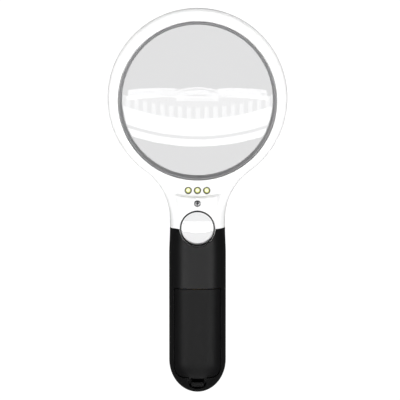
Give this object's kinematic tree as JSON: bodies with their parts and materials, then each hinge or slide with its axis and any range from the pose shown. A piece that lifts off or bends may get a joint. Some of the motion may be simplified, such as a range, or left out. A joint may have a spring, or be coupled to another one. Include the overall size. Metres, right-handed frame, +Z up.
{
  "type": "lit hand magnifier",
  "caption": "Round hand magnifier with a large clear lens in a white head, a small strong lens in the neck, lamps, and a black handle with a battery door.",
  "frame": {"origin": "centre of the object's box, on the flat it lies on", "axes": "+Y towards the top of the head, +Z up, out of the lamp side"},
  "size_m": [0.0858, 0.184, 0.025],
  "materials": {
    "white_abs": "glossy moulded",
    "ring_grey": "satin",
    "lens_clear": "polished acrylic",
    "black_abs": "satin, fine texture",
    "led_epoxy": "clear epoxy over yellow phosphor",
    "board_green": "lacquered board",
    "resistor_tan": "lacquered",
    "cell_sleeve": "printed sleeve over steel",
    "contact_metal": "nickel plated",
    "screw_steel": "plated",
    "wire_cover": "smooth",
    "switch_plastic": "moulded"
  },
  "bodies": {
    "body": {"front_head_shell": "white_abs", "back_head_shell": "white_abs", "lens_ring": "ring_grey", "main_lens": "lens_clear", "small_lens": "lens_clear", "small_lens_ring": "black_abs", "handle_front_shell": "black_abs", "handle_back_shell": "black_abs", "front_holder": "black_abs", "rear_holder": "black_abs", "switch_housing": "switch_plastic", "led_1": "led_epoxy", "led_2": "led_epoxy", "led_3": "led_epoxy", "led_board": "board_green", "resistor_1": "resistor_tan", "resistor_2": "resistor_tan", "resistor_3": "resistor_tan", "battery_cell_1": "cell_sleeve", "battery_cell_2": "cell_sleeve", "battery_cell_3": "cell_sleeve", "spring_1": "contact_metal", "spring_2": "contact_metal", "spring_3": "contact_metal", "front_pad": "contact_metal", "front_link": "contact_metal", "rear_link": "contact_metal", "rear_pad": "contact_metal", "neck_screw": "screw_steel", "back_screw_1": "screw_steel", "back_screw_2": "screw_steel", "back_screw_3": "screw_steel", "back_screw_4": "screw_steel", "back_screw_5": "screw_steel", "wire_positive": "wire_cover", "wire_negative": "wire_cover", "wire_switched": "wire_cover"},
    "battery_door": {"battery_door": "black_abs"},
    "door_latch": {"door_latch": "black_abs"},
    "switch": {"switch_thumb": "switch_plastic", "switch_lever": "switch_plastic"}
  },
  "joints": [
    {"name": "battery_door_swing", "type": "hinge", "parent": "body", "child": "battery_door", "pos_m": [0, -0.041, 0.025], "axis": [-1, 0, 0], "range_deg": [0, 55]},
    {"name": "door_latch_bend", "type": "hinge", "parent": "battery_door", "child": "door_latch", "pos_m": [0, -0.0828, 0.0142], "axis": [-1, 0, 0], "range_deg": [0, 8], "stiffness_Nm_per_rad": 0.07},
    {"name": "switch_slide", "type": "slide", "parent": "body", "child": "switch", "axis": [0, -1, 0], "range_m": [0, 0.0021]}
  ]
}
